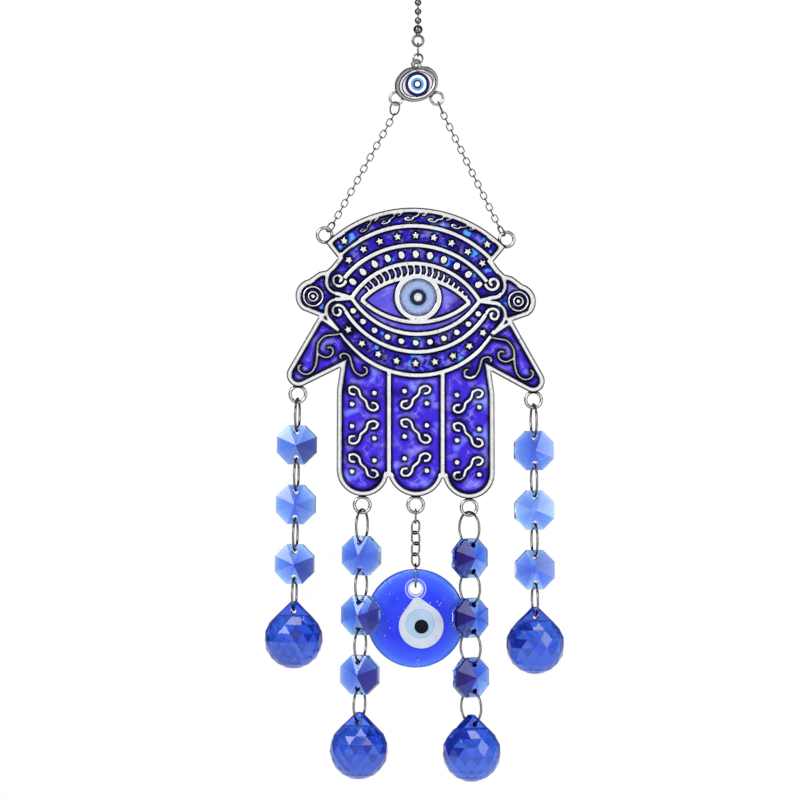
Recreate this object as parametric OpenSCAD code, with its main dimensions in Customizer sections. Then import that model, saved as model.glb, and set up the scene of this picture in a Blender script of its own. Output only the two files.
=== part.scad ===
// Hamsa suncatcher: a cast hand with enamel, hung from a bead chain, an eye charm
// and two cable chains, with four bead strands and a glass eye below it.
// Origin: centre of the hanging ring's hole. +Z up, the front faces -Y.

/* [Hanging ring] */
// Bore of the hanging ring
hang_bore_d = 9.6; // [8:0.2:14]
// Radial width of the hanging ring's flat wire
hang_band = 1.2; // [0.8:0.1:1.4]
// Thickness of the two turns together
hang_thick = 1.2; // [0.8:0.1:1.4]
// Mean diameter of the small eye under the hanging ring
hang_eye_d = 3.4; // [2.5:0.1:4]
// Wire of that eye
hang_eye_wire = 0.8; // [0.6:0.05:0.9]

/* [Bead chain] */
// Outside diameter of a chain ball
ball_d = 2.4; // [2:0.1:2.8]
// Distance from ball to ball
ball_pitch = 3.21; // [3.05:0.05:4]
// Number of pins, one fewer than the balls
pin_count = 5; // [2:1:40]
// Diameter of a pin's rod
pin_d = 0.5; // [0.4:0.05:0.6]
// Wall of a hollow ball
ball_wall = 0.3; // [0.2:0.05:0.4]
// Mean diameter of a coupling's ring
coupling_ring_d = 3.7; // [3.6:0.1:6]
// Wire of a coupling's ring
coupling_wire = 0.95; // [0.6:0.05:1]
// Outside diameter of a coupling's cup
cup_d = 3.3; // [3.1:0.1:4]

/* [Link ring] */
// Mean diameter of the ring between coupling and charm
link_ring_d = 4.6; // [4:0.1:6]
// Wire of that ring
link_wire = 0.6; // [0.4:0.05:0.8]

/* [Eye charm] */
// Width of the charm's oval dish
charm_w = 15.8; // [12:0.1:20]
// Height of the charm's oval dish
charm_h = 12.6; // [11:0.1:18]
// Tilt of the oval dish, right side up
charm_tilt = 18; // [-30:1:30]
// Depth of the charm, front to back
charm_depth = 2.6; // [2:0.1:4]
// Width of the crescent rim
charm_rim = 1.5; // [1:0.1:2]
// Diameter of the glass eye in the charm
charm_eye_d = 8.6; // [6:0.1:9]
// Mean diameter of the bail
bail_d = 3.3; // [3:0.1:4]
// Wire of the bail
bail_wire = 0.7; // [0.5:0.05:0.8]
// Mean diameter of a side ring
side_ring_d = 4.4; // [4:0.1:5]
// Wire of a side ring
side_wire = 1.0; // [0.8:0.05:1.1]

/* [Cable chains] */
// Height from the charm's side rings down to the hand's top rings
chain_drop = 49.6; // [35:0.1:80]
// Wire of a small link
chain_wire = 0.38; // [0.3:0.02:0.45]
// Outside width of a small link
chain_link_w = 2.35; // [2.1:0.05:2.8]
// Wanted distance from link to link
chain_pitch = 2.3; // [2.1:0.05:3]
// Wire of the larger end rings
end_wire = 0.55; // [0.4:0.05:0.6]

/* [Hand] */
// Width across the tips of the two thumbs
hand_w = 92.4; // [80:0.2:110]
// Thickness of the cast base
base_thick = 1.5; // [1:0.1:3]
// Height of the ribs above the base
rib_high = 1.0; // [0.6:0.1:1.6]
// Depth of the enamel in the cells
enamel_thick = 0.6; // [0.3:0.1:0.8]
// Mean diameter of the lower rings of the hand
loop_d = 5.6; // [5.2:0.1:7]
// Wire of the lower rings of the hand
loop_wire = 1.15; // [0.9:0.05:1.3]
// Mean diameter of the two top rings of the hand
top_loop_d = 5.2; // [5:0.1:6.4]
// How far the right side of the casting sits lower, for each unit of width
hand_skew_share = 0.024; // [0:0.002:0.04]

/* [Strands] */
// Mean diameter of a jump ring
jump_d = 11.7; // [11:0.1:14]
// Wire of a jump ring
jump_wire = 0.85; // [0.6:0.05:0.95]
// Size of an octagon bead across its flats
bead_af = 14; // [13:0.5:18]
// Thickness of a bead at its middle
bead_mid = 7.5; // [6:0.1:8]
// Thickness of a bead at its rim
bead_rim = 3; // [2.5:0.1:3.5]
// Distance between the two holes of a bead
bead_holes = 9.5; // [9:0.1:10]
// Diameter of the holes in the glass
glass_hole_d = 2.1; // [2:0.05:2.4]
// Diameter of the faceted ball
prism_d = 21; // [18:0.5:26]
// Height of the ball's neck above its middle
prism_neck = 13.6; // [13:0.1:16]

/* [Glass eye] */
// Diameter of the cobalt disc
disc_d = 35.4; // [28:0.2:40]
// Thickness of the disc at its middle
disc_thick = 5.4; // [4.6:0.1:6]
// Diameter of the disc's hole
disc_hole_d = 4.4; // [4.2:0.1:5]
// Number of curb links
curb_count = 4; // [3:1:12]
// Distance from curb link to curb link
curb_pitch = 4.05; // [3.9:0.05:5]
// Wire of a curb link
curb_wire = 0.7; // [0.5:0.05:0.8]
// Outside width of a curb link
curb_w = 4.3; // [3.7:0.1:5]
// Length of the closing ring, between the middles of its end wires
closing_long = 8.2; // [8:0.1:10]
// How far the disc hangs behind the plane of the hand
disc_setback = 4.7; // [4.6:0.1:7]

/* [Hidden] */
// Running gap between linked pieces
play = 0.14;
// Gap between two pieces that lie against each other
seat = 0.05;
// Overrun of a cut past its faces
over = 1;

STRANDS = ["left_thumb", "left_finger", "right_finger", "right_thumb"];
RINGS = [1, 2, 3, 4];
BEADS = [1, 2, 3];

// Colours
silver = [0.78, 0.79, 0.80];
steel = [0.45, 0.46, 0.48];
enamel = [0.16, 0.12, 0.72];
bead_blue = [0.35, 0.52, 0.92];
ball_blue = [0.08, 0.16, 0.72];
cobalt = [0.12, 0.25, 0.95];

// Outline helpers
function polar(a) = [cos(a), sin(a)];
function arc(c, r, a0, a1, n = 12) = [for (i = [0:n]) c + r * polar(a0 + (a1 - a0) * i / n)];
// A curl turns from a0 to a1 while its radius runs evenly from r0 to r1
function curl(c, r0, r1, a0, a1, n = 20) = [for (i = [0:n])
    c + (r0 + (r1 - r0) * i / n) * polar(a0 + (a1 - a0) * i / n)];
function reversed(pts) = [for (i = [len(pts) - 1:-1:0]) pts[i]];
function flip(pts) = [for (p = reversed(pts)) [-p[0], p[1]]];
function unit(v) = v / norm(v);
function heading(pts, i) = unit(pts[min(i + 1, len(pts) - 1)] - pts[max(i - 1, 0)]);
function beside(pts, off) = [for (i = [0:len(pts) - 1]) pts[i] + off * [-heading(pts, i)[1], heading(pts,
    i)[0]]];
module stroke(pts, w) {
    polygon(concat(beside(pts, w / 2), reversed(beside(pts, -w / 2))));
}
// Flat art drawn in X and Z stands up facing -Y, with its back at y and its front y - deep
module stand(y, deep) {
    translate([0, y, 0]) rotate([90, 0, 0]) linear_extrude(deep) children();
}
module both() {
    children();
    mirror([1, 0]) children();
}

// Rings and links. A ring lies in the XZ plane about its centre
module ring(d, wire) {
    rotate([90, 0, 0]) rotate_extrude($fn = 48) translate([d / 2, 0]) circle(d = wire, $fn = 24);
}
// An oval link stands along Z, wide in X. Its length and width are between the middles of its wires
module oval_link(long, wide, wire) {
    run = (long - wide) / 2;
    for (s = [0, 180]) rotate([0, s, 0]) translate([0, 0, run])
        rotate([90, 0, 0]) rotate_extrude(angle = 180, $fn = 48) translate([wide / 2, 0])
            circle(d = wire, $fn = 24);
    for (s = [-1, 1]) translate([s * wide / 2, 0, -run]) cylinder(h = 2 * run, d = wire, $fn = 24);
}
// An oval link from one point of the XZ plane to another, turned about its own length
module link_between(from, to, wide, wire, turn) {
    run = to - from;
    translate([(from[0] + to[0]) / 2, 0, (from[1] + to[1]) / 2]) rotate([0, atan2(run[0], run[1]), 0])
        rotate([0, 0, turn]) oval_link(norm(run), wide, wire);
}
// How far apart the middles of two wires lie where one hooks over the other
function hook(wire_a, wire_b) = (wire_a + wire_b) / 2 + play;

// Places down the middle, from the hanging ring to the charm
hang_eye_in_share = 0.55;
z_hang_eye = -hang_bore_d / 2 - hang_eye_in_share * hang_band - hang_eye_d / 2;
z_hang_seat = z_hang_eye - hang_eye_d / 2;
z_upper_ring = z_hang_seat + hook(hang_eye_wire, coupling_wire) - coupling_ring_d / 2;
cup_wall_share = 0.09;
cup_gap = play / 2;
cup_reach = coupling_ring_d / 2 + coupling_wire / 2 + cup_d / 2;
z_first_ball = z_upper_ring - cup_reach;
z_last_ball = z_first_ball - pin_count * ball_pitch;
z_lower_ring = z_last_ball - cup_reach;
z_link = z_lower_ring - coupling_ring_d / 2 + hook(coupling_wire, link_wire) - link_ring_d / 2;
z_link_seat = z_link - link_ring_d / 2;
z_bail = z_link_seat + hook(link_wire, bail_wire) - bail_d / 2;

// Places on the charm, as shares of the dish's half width and half height
charm_at_share = [-0.068, -1.414];
side_ring_share = [0.92, -0.844];
charm_x = charm_at_share[0] * charm_w / 2;
charm_z = z_bail + charm_at_share[1] * charm_h / 2;
function side_ring_at(s) =
    [charm_x + s * side_ring_share[0] * charm_w / 2, charm_z + side_ring_share[1] * charm_h / 2];

// The hand is drawn in shares of half its width, then skewed a little as the casting is
half = hand_w / 2;
top_loop_share = [0.703, 0.476];
thumb_loop_share = [0.911, -0.758];
finger_loop_share = [0.413, -1.602];
middle_loop_share = [0, -1.591];
hand_x_share = -0.018;
hand_x = hand_x_share * half;
hand_z = side_ring_at(1)[1] - chain_drop - top_loop_share[1] * half;
function mirrored(p, s) = [s * p[0], p[1]];
function on_hand(p) = [hand_x + p[0], hand_z + p[1] - hand_skew_share * p[0]];
function strand_side(s) = s < 2 ? -1 : 1;
function strand_share(s) = s == 0 || s == 3 ? thumb_loop_share : finger_loop_share;
function strand_loop(s) = on_hand(mirrored(strand_share(s), strand_side(s)) * half);
middle_loop = on_hand(middle_loop_share * half);
hand_back = base_thick / 2;
cell_floor = hand_back - base_thick;

// Strands: sideways lean and turn about the vertical of each
strand_lean = [1.0, 0.8, -0.6, -0.4];
strand_turn = [-6, -20, 36, 8];
jump_r = jump_d / 2;
// How far a jump ring's wire rises over half the depth of a hole
function rise(depth) = jump_r - sqrt(jump_r * jump_r - depth * depth / 4);
// How far the ring's wire lies above the middle of the hole, inside a hole of this depth
function wire_up(depth) = (glass_hole_d - jump_wire) / 2 - play - rise(depth);
bead_at_hole = bead_mid - (bead_mid - bead_rim) * bead_holes / bead_af;
bead_up = wire_up(bead_at_hole);
bead_step = jump_d + bead_holes + 2 * bead_up;
prism_tab_share = 0.2;
prism_tab = prism_tab_share * prism_d;
prism_hole_share = 0.75;
prism_hole_z = prism_hole_share * prism_neck;
first_ring_z = -loop_d / 2 + hook(loop_wire, jump_wire) + seat - jump_r;
function ring_z(n) = first_ring_z - (n - 1) * bead_step;
function bead_z(n) = ring_z(n) - jump_r - bead_up - bead_holes / 2;
prism_z = ring_z(4) - jump_r - wire_up(prism_tab) - prism_hole_z;

// The glass eye hangs behind the finger strands, so its chain leans back
long_link_share = 1.134;
long_link_l = long_link_share * curb_w;
long_link_top = hook(loop_wire, curb_wire);
curb_start = long_link_top - long_link_l + curb_wire + play;
curb_end = long_link_top - long_link_l - curb_count * curb_pitch;
eye_lean = asin(disc_setback / -curb_end);
closing_wide_share = 1.22;
closing_wide = closing_wide_share * disc_thick;
disc_hole_up_share = 0.6;
disc_hole_up = disc_hole_up_share * disc_d / 2;
disc_flat_share = 0.9;
disc_rise = closing_wide / 2 - sqrt(pow(closing_wide / 2, 2) - pow(disc_flat_share * disc_thick / 2, 2));
disc_wire_up = (disc_hole_d - curb_wire) / 2 - play - disc_rise;
closing_top = curb_end * cos(eye_lean) + curb_wire + play;
closing_end = closing_top - closing_long;
disc_z = closing_end - disc_wire_up - disc_hole_up;

// The hanging ring: two turns of flat wire, with the line between them cut round the outer edge,
// and a small eye below that leaves its bore free
groove_share = 0.12;
module hang_ring() {
    gap = groove_share * hang_thick;
    outer = hang_bore_d + 2 * hang_band;
    color(steel) {
        rotate([90, 0, 0]) difference() {
            cylinder(h = hang_thick, d = outer, center = true, $fn = 96);
            cylinder(h = hang_thick + 2 * over, d = hang_bore_d, center = true, $fn = 96);
            difference() {
                cylinder(h = gap, d = outer + over, center = true, $fn = 96);
                cylinder(h = gap + over, d = outer - 2 * gap, center = true, $fn = 96);
            }
        }
        translate([0, 0, z_hang_eye]) ring(hang_eye_d, hang_eye_wire);
    }
}

// A coupling, with its ring at the centre and its cup above: a folded cup that holds one ball
slot_share = 0.2;
module coupling() {
    wall = cup_wall_share * cup_d;
    inner = cup_d / 2 - wall;
    slot = slot_share * cup_d;
    color(silver) difference() {
        union() {
            ring(coupling_ring_d, coupling_wire);
            translate([0, 0, cup_reach]) sphere(d = cup_d, $fn = 48);
            translate([0, 0, coupling_ring_d / 2]) cylinder(h = cup_d / 2, d = cup_d / 2, $fn = 48);
        }
        translate([0, 0, cup_reach]) sphere(r = inner, $fn = 48);
        translate([0, 0, cup_reach]) cylinder(h = cup_d, d = pin_d + 2 * wall, $fn = 24);
        translate([-slot / 2, -cup_d, cup_reach]) cube([slot, cup_d, cup_d]);
    }
}
module upper_coupling() translate([0, 0, z_upper_ring]) rotate([180, 0, 90]) coupling();
module lower_coupling() translate([0, 0, z_lower_ring]) coupling();

// Hollow balls, each bored through for its two pins
module chain_balls() {
    color(silver) for (i = [0:pin_count]) translate([0, 0, z_first_ball - i * ball_pitch]) difference() {
        sphere(d = ball_d, $fn = 48);
        sphere(d = ball_d - 2 * ball_wall, $fn = 48);
        cylinder(h = ball_d + over, d = pin_d + 2 * seat, center = true, $fn = 24);
    }
}
// Rods with a head inside the ball at each end
head_share = [1.7, 0.5];
module chain_pins() {
    head = head_share[1] * pin_d;
    inside = sqrt(pow(ball_d / 2 - ball_wall, 2) - pow(head_share[0] * pin_d / 2, 2));
    reach = ball_pitch / 2 - inside + play + head;
    color(steel) for (i = [0:pin_count - 1]) translate([0, 0, z_first_ball - (i + 1 / 2) * ball_pitch]) {
        cylinder(h = 2 * reach, d = pin_d, center = true, $fn = 24);
        for (s = [0, 180]) rotate([s, 0, 0]) translate([0, 0, reach - head])
            cylinder(h = head, d = head_share[0] * pin_d, $fn = 24);
    }
}
module link_ring() color(steel) translate([0, 0, z_link]) rotate([0, 0, 90]) ring(link_ring_d, link_wire);

// The eye charm: a dish with a crescent rim, open under its curl, a bail and two side rings
dish_share = 0.35;
rim_open_share = [0.40, 0.47];
charm_curl_share = [0.128, 0.020, 0.036];
charm_curl_at_share = [-0.02, 1.095];
charm_eye_at_share = [0.02, -0.02];
charm_eye_high_share = 0.35;
charm_pupil_share = 0.33;
charm_eye_high = charm_eye_high_share * charm_depth;
module charm_oval(inset) rotate(charm_tilt) scale([charm_w / 2 - inset, charm_h / 2 - inset])
    circle(r = 1, $fn = 64);
module at_charm() translate([charm_x, 0, charm_z]) children();
module charm_frame() {
    dish = dish_share * charm_depth;
    curl_at = [charm_curl_at_share[0] * charm_w, charm_curl_at_share[1] * charm_h / 2];
    color(silver) {
        translate([0, 0, z_bail]) ring(bail_d, bail_wire);
        at_charm() stand(charm_depth / 2, dish) offset(delta = 0) charm_oval(seat);
        at_charm() stand(charm_depth / 2, charm_depth) offset(delta = 0) difference() {
            charm_oval(0);
            charm_oval(charm_rim);
            polygon([[0, 0], [-rim_open_share[0] * charm_w, charm_h], [rim_open_share[1] * charm_w,
                charm_h]]);
        }
        at_charm() stand(charm_depth / 2, charm_depth) offset(delta = 0)
            stroke(curl(curl_at, charm_curl_share[0] * charm_w, charm_curl_share[1] * charm_w, -80, 600, 44),
                charm_curl_share[2] * charm_w);
        at_charm() for (s = [-1, 1])
            translate([s * side_ring_share[0] * charm_w / 2, 0, side_ring_share[1] * charm_h / 2])
                ring(side_ring_d, side_wire);
    }
}
module on_dish(up) {
    translate([charm_x + charm_eye_at_share[0] * charm_w, charm_depth / 2 - dish_share * charm_depth - up,
        charm_z + charm_eye_at_share[1] * charm_h]) rotate([90, 0, 0]) children();
}
module charm_eye() color("navy") on_dish(seat) cylinder(h = charm_eye_high, d = charm_eye_d, $fn = 48);
module charm_pupil() color("white") on_dish(seat + charm_eye_high + seat)
    cylinder(h = charm_eye_high / 2, d = charm_pupil_share * charm_eye_d, $fn = 48);

// The cable chains: each end ring keeps its own direction, and small links fill the run between them
end_long = [4.6, 3.9];
end_wide = [4.2, 3.3];
right_end_wide = [2.0, 2.3];
first_tilt = [8, 22];
last_tilt = [36, 31];
first_turn = [40, 90];
last_turn = [50, 55];
small_turn = [90, 0];
function down(a, s) = [s * sin(a), -cos(a)];
function sign_of(i) = 2 * i - 1;
function hand_top(i) = on_hand(mirrored(top_loop_share, sign_of(i)) * half);
function chain_from(i) = side_ring_at(sign_of(i))
    + (side_ring_d / 2 - hook(side_wire, end_wire)) * down(first_tilt[i], sign_of(i));
function chain_first(i) = chain_from(i) + end_long[0] * down(first_tilt[i], sign_of(i));
function chain_to(i) = hand_top(i)
    - (top_loop_d / 2 - hook(loop_wire, end_wire)) * down(last_tilt[i], sign_of(i));
function chain_last(i) = chain_to(i) - end_long[1] * down(last_tilt[i], sign_of(i));
function chain_way(i) = unit(chain_last(i) - chain_first(i));
function chain_run(i) = norm(chain_last(i) - chain_first(i)) + 2 * hook(end_wire,
    chain_wire) - chain_wire - play;
function link_count(i) = round(chain_run(i) / chain_pitch);
function link_pitch(i) = chain_run(i) / link_count(i);
module small_links(i) {
    start = chain_first(i) - hook(end_wire, chain_wire) * chain_way(i);
    long = link_pitch(i) + chain_wire + play;
    color(steel) for (k = [0:link_count(i) - 1]) {
        from = start + k * link_pitch(i) * chain_way(i);
        link_between(from, from + long * chain_way(i), chain_link_w - chain_wire, chain_wire,
            small_turn[i] + 90 * k);
    }
}
module left_upper_ring() color(steel) link_between(chain_from(0), chain_first(0), end_wide[0], end_wire,
    first_turn[0]);
module left_lower_ring() color(steel) link_between(chain_last(0), chain_to(0), end_wide[1], end_wire,
    last_turn[0]);
module right_upper_ring() color(steel)
    link_between(chain_from(1), chain_first(1), right_end_wide[0], end_wire, first_turn[1]);
module right_lower_ring() color(steel)
    link_between(chain_last(1), chain_to(1), right_end_wide[1], end_wire, last_turn[1]);
module left_chain_links() small_links(0);
module right_chain_links() small_links(1);

// The hand's outline, from the foot of the middle finger up the right side, and mirrored.
// Every share is of half the hand's width, and centres lie on the middle line where one number is given.
middle_tip_share = [-1.307, 0.219];
finger_tip_share = [0.409, -1.333, 0.201];
finger_side_share = [[0.608, -0.72], [0.582, -0.545]];
thumb_tip_share = [0.905, -0.610, 0.091];
waist_share = [0.749, -0.154];
ear_share = [0.792, 0, 0.136];
shoulder_share = [[0.745, 0.190], [0.688, 0.203], [0.648, 0.240], [0.601, 0.301]];
arch_share = [-0.279, 0.9825];
function at(p) = [p[0], p[1]] * half;
function mid_at(p) = [0, p[0] * half];
function half_outline() = concat(
    arc(mid_at(middle_tip_share), middle_tip_share[1] * half, -90, -20, 8),
    arc(at(finger_tip_share), finger_tip_share[2] * half, -166, 0, 14),
    [for (p = finger_side_share) p * half],
    arc(at(thumb_tip_share), thumb_tip_share[2] * half, -113, 31, 10),
    [waist_share * half],
    arc(at(ear_share), ear_share[2] * half, -52, 76, 10),
    [for (p = shoulder_share) p * half],
    arc(mid_at(arch_share), arch_share[1] * half, 45, 89, 20));
module outline() polygon(concat(half_outline(), flip(half_outline())));

// Ribs: a centre on the middle line, a radius and the angle from the level at which each arc ends
rib_share = 0.031;
rim_share = 0.040;
fine_share = 0.02;
upper_arcs_share = [[-0.253, 0.816, 42], [-0.286, 0.699, 38], [-0.304, 0.577, 31]];
lower_arcs_share = [[0.316, 0.589, -33], [0.229, 0.6385, -32], [0.106, 0.697, -33]];
lids_share = [[-0.398, 0.561, 42], [0.446, 0.626, -48]];
module arc_rib(a, w) {
    turn = a[2] > 0 ? 180 - a[2] : -180 - a[2];
    stroke(arc(mid_at(a), a[1] * half, a[2], turn, 26), w * half);
}
// The lobes round the scrolls, and the neck between them
lobe_share = [0.597, 0.117, 0.093];
low_lobe_share = [0.602, -0.108, 0.091];
lobe_from_share = [[0.601, 0.301], [0.655, 0.225]];
corner_share = [0.493, -0.005];
low_rib_share = [0.590, -0.264];
function lobe_line() = concat([for (p = lobe_from_share) p * half],
    arc(at(lobe_share), lobe_share[2] * half, 25, -90, 9), [corner_share * half]);
function low_lobe_line() = concat([corner_share * half],
    arc(at(low_lobe_share), low_lobe_share[2] * half, 95, -50, 9), [low_rib_share * half]);
scroll_share = [0.596, 0.135, 0.060, 0.014];
low_scroll_share = [0.602, -0.112, 0.058, 0.014];
scroll_line_share = 0.024;

// A smooth run through chosen points
function blend(a, b, c, d, t) =
    b + t / 2 * (c - a + t * (2 * a - 5 * b + 4 * c - d + t * (3 * b - a - 3 * c + d)));
function smooth(p, n = 3) = concat([for (i = [0:len(p) - 2], k = [0:n - 1])
    blend(p[max(i - 1, 0)], p[i], p[i + 1], p[min(i + 2, len(p) - 1)], k / n)], [p[len(p) - 1]]);
thumb_scrolls_share = [
    [[0.595, -0.288], [0.650, -0.296], [0.705, -0.307], [0.753, -0.364], [0.760, -0.418], [0.766, -0.500],
     [0.788, -0.569], [0.842, -0.604], [0.898, -0.582], [0.905, -0.541], [0.877, -0.530]],
    [[0.756, -0.440], [0.700, -0.470], [0.650, -0.452], [0.636, -0.410], [0.660, -0.388], [0.690, -0.400]],
    [[0.572, -0.480], [0.587, -0.450], [0.552, -0.435], [0.511, -0.455], [0.498, -0.504], [0.476, -0.565],
     [0.429, -0.600], [0.379, -0.584], [0.379, -0.543], [0.409, -0.537]]];
// One S-scroll about its own middle, which the fingers and the top band repeat
vine_share = [[0.062, 0.030], [0.097, 0.036], [0.112, 0.070], [0.077, 0.090], [0.036, 0.068], [0.020, 0.018],
    [-0.020, -0.018], [-0.036, -0.068], [-0.077, -0.090], [-0.112, -0.070], [-0.097, -0.036], [-0.062,
        -0.030]];
vine_places_share = [[0.405, -0.78, 1], [0.405, -1.04, -1], [0.405, -1.30, 1]];
middle_vine_places_share = [[0, -0.76, 1], [0, -1.02, -1], [0, -1.28, 1]];
leaf_share = [0.020, 0.086, 0.045];
top_vine_share = [-0.268, 0.904, 5, 11.8];
top_vine_size_share = [0.76, 0.34, 0.013];
module vine(x, y, w) stroke(smooth([for (p = vine_share) [x * p[0], y * p[1]] * half]), w * half);
module leaf() for (s = [-1, 1]) translate([-s * leaf_share[1], s * leaf_share[2]] * half)
    circle(r = leaf_share[0] * half, $fn = 10);
module vines(places) for (p = places) translate(at(p)) {
    mirror([p[2] < 0 ? 1 : 0, 0]) {
        vine(1, 1, fine_share);
        leaf();
    }
}

// Stars and dots along the bands: centre, radius, count and step in degrees
star_r_share = 0.034;
upper_stars_share = [-0.2706, 0.7587, 9, 10.7];
lower_stars_share = [0.1677, 0.6677, 9, -12.8];
upper_dots_share = [-0.2944, 0.6385, 11, 9.9];
lower_dots_share = [0.2727, 0.6126, 11, -10.4];
end_star_share = [0.552, 0.433];
upper_dot_share = [0.025, 0.032];
lower_dot_share = [0.024, 0.024];
star_waist_share = 0.5;
module star() {
    r = star_r_share * half;
    polygon([for (i = [0:9]) (i % 2 == 0 ? r : r * star_waist_share) * polar(90 + 36 * i)]);
}
module along(a) {
    up = a[3] > 0 ? 1 : -1;
    for (i = [0:a[2] - 1]) {
        turn = (i - (a[2] - 1) / 2) * a[3];
        translate(mid_at(a)) rotate(turn) translate([0, up * a[1] * half]) children();
    }
}
module dot(r) scale(r * half) circle(r = 1, $fn = 12);
module studs() {
    along(upper_stars_share) star();
    along(lower_stars_share) star();
    along(upper_dots_share) dot(upper_dot_share);
    along(lower_dots_share) dot(lower_dot_share);
    both() translate(end_star_share * half) star();
}

// The targets in the ears, the iris ring and the lashes
target_share = [[0.074, 0.014], [0.036, 0.013], [0.008, 0.016]];
iris_at_share = [0.018, 0.012];
iris_share = [0.142, 0.182];
iris_r = iris_share[0] * half;
lash_share = [0.016, 0.105, 0.045];
lash_count = 19;
module circle_line(r, w) difference() {
    circle(r = r + w / 2, $fn = 24);
    if (r > w / 2) circle(r = r - w / 2, $fn = 24);
}
// Long slanting lashes at the left grow short and curl over at the right
module lashes() for (i = [0:lash_count - 1]) {
    t = i / (lash_count - 1);
    turn = 130 - 82 * t;
    long = (lash_share[1] - (lash_share[1] - lash_share[2]) * max(0,
        2 * t - 1)) * (0.62 + 0.38 * sin(180 * t)) * half;
    foot = mid_at(lids_share[0]) + lids_share[0][1] * half * polar(turn);
    bend = long / 3;
    stroke(smooth([foot, foot + bend * polar(turn - 40), foot + 2 * bend * polar(turn - 25),
        foot + long * polar(turn - 10)], 2), lash_share[0] * half);
}
module ribs() {
    difference() {
        outline();
        offset(delta = -rim_share * half) outline();
    }
    for (a = upper_arcs_share) arc_rib(a, rib_share);
    for (a = lower_arcs_share) arc_rib(a, rib_share);
    for (a = lids_share) arc_rib(a, rib_share);
    both() {
        stroke(lobe_line(), rib_share * half);
        stroke(low_lobe_line(), rib_share * half);
        stroke([low_rib_share * half, waist_share * half], rib_share * half);
        stroke(curl(at(scroll_share), scroll_share[2] * half, scroll_share[3] * half, 185, 620, 20),
            scroll_line_share * half);
        stroke(curl(at(low_scroll_share), low_scroll_share[2] * half, low_scroll_share[3] * half, 175,
            -260, 20),
            scroll_line_share * half);
        for (s = thumb_scrolls_share) stroke(smooth(s * half), fine_share * half);
        translate(at(ear_share)) for (t = target_share) circle_line(t[0] * half, t[1] * half);
        stroke([divider_share[0] * half, divider_share[1] * half], rib_share * half);
        vines(vine_places_share);
    }
    vines(middle_vine_places_share);
    along(top_vine_share) vine(top_vine_size_share[0], top_vine_size_share[1], top_vine_size_share[2]);
    studs();
    lashes();
}
divider_share = [[0.207, -0.56], [0.207, -1.383]];
module iris_hole() translate(iris_at_share * half) circle(r = iris_r, $fn = 64);
module skewed() multmatrix([[1, 0, 0, 0], [-hand_skew_share, 1, 0, 0], [0, 0, 1, 0], [0, 0, 0, 1]])
    children();
module relief() {
    difference() {
        union() {
            intersection() {
                ribs();
                outline();
            }
            translate(iris_at_share * half) circle(r = iris_share[1] * half, $fn = 64);
        }
        iris_hole();
    }
}
module on_plate() translate([hand_x, 0, hand_z]) children();
module hand_loops() {
    for (i = [0, 1]) translate([hand_top(i)[0], 0, hand_top(i)[1]]) ring(top_loop_d, loop_wire);
    for (s = [0:3]) translate([strand_loop(s)[0], 0, strand_loop(s)[1]]) ring(loop_d, loop_wire);
    translate([middle_loop[0], 0, middle_loop[1]]) ring(loop_d, loop_wire);
}
module pockets() offset(delta = -seat) difference() {
    outline();
    relief();
    iris_hole();
}
module hand_plate() color(silver) {
    on_plate() difference() {
        stand(hand_back, base_thick + rib_high) offset(delta = 0) skewed() outline();
        stand(cell_floor, base_thick) offset(delta = 0) skewed() pockets();
        translate([-hand_x, 0, -hand_z]) at_iris(cell_floor) cylinder(h = base_thick, r = iris_r, $fn = 64);
    }
    hand_loops();
}

// Enamel fills every cell between the ribs; each node takes the cells inside its own field
module eye_field() intersection_for(a = [upper_arcs_share[2], lower_arcs_share[0]])
    translate(mid_at(a)) circle(r = a[1] * half, $fn = 120);
module palm_field() difference() {
    polygon([low_rib_share * half, waist_share * half, [hand_w, waist_share[1] * half], [hand_w, -2 * hand_w],
        [-hand_w, -2 * hand_w], [-hand_w, waist_share[1] * half], mirrored(waist_share, -1) * half,
        mirrored(low_rib_share, -1) * half]);
    translate(mid_at(lower_arcs_share[2])) circle(r = lower_arcs_share[2][1] * half, $fn = 120);
}
module cells() offset(delta = -seat) pockets();
module fill() color(enamel) on_plate() stand(cell_floor, enamel_thick) offset(delta = 0) skewed() children();
module enamel_eye() fill() intersection() {
    cells();
    eye_field();
}
module enamel_palm() fill() intersection() {
    cells();
    palm_field();
}
module enamel_bands() fill() difference() {
    cells();
    eye_field();
    palm_field();
}
function iris_place() = on_hand(iris_at_share * half);
pupil_share = [0.43, 0.5];
module at_iris(y) translate([iris_place()[0], y, iris_place()[1]]) rotate([90, 0, 0]) children();
module iris_glass() color("lightsteelblue") at_iris(cell_floor) difference() {
    cylinder(h = rib_high, r = iris_r - seat, $fn = 64);
    translate([0, 0, rib_high / 2]) cylinder(h = rib_high, r = pupil_share[0] * iris_r, $fn = 48);
}
module pupil_stone() color("black") at_iris(cell_floor - rib_high / 2)
    cylinder(h = rib_high, r = pupil_share[0] * iris_r - seat, $fn = 48);

// The strands
module at_strand(s) translate([strand_loop(s)[0], 0, strand_loop(s)[1]]) rotate([0, strand_lean[s], 0])
    rotate([0, 0, strand_turn[s]]) children();
module strand_ring(s, n) color(steel) at_strand(s) translate([0, 0, ring_z(n)]) rotate([0, 0, 90])
    ring(jump_d, jump_wire);
module glass_hole(deep) rotate([90, 0, 0]) cylinder(h = deep, d = glass_hole_d, center = true, $fn = 32);
module strand_bead(s, n) {
    corner_r = bead_af / 2 / cos(180 / 8);
    color(bead_blue) at_strand(s) translate([0, 0, bead_z(n)]) difference() {
        rotate([90, 180 / 8, 0]) rotate_extrude($fn = 8)
            polygon([[0, -bead_mid / 2], [corner_r, -bead_rim / 2], [corner_r, bead_rim / 2], [0,
                bead_mid / 2]]);
        for (e = [-1, 1]) translate([0, 0, e * bead_holes / 2]) glass_hole(2 * bead_mid);
    }
}
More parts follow.
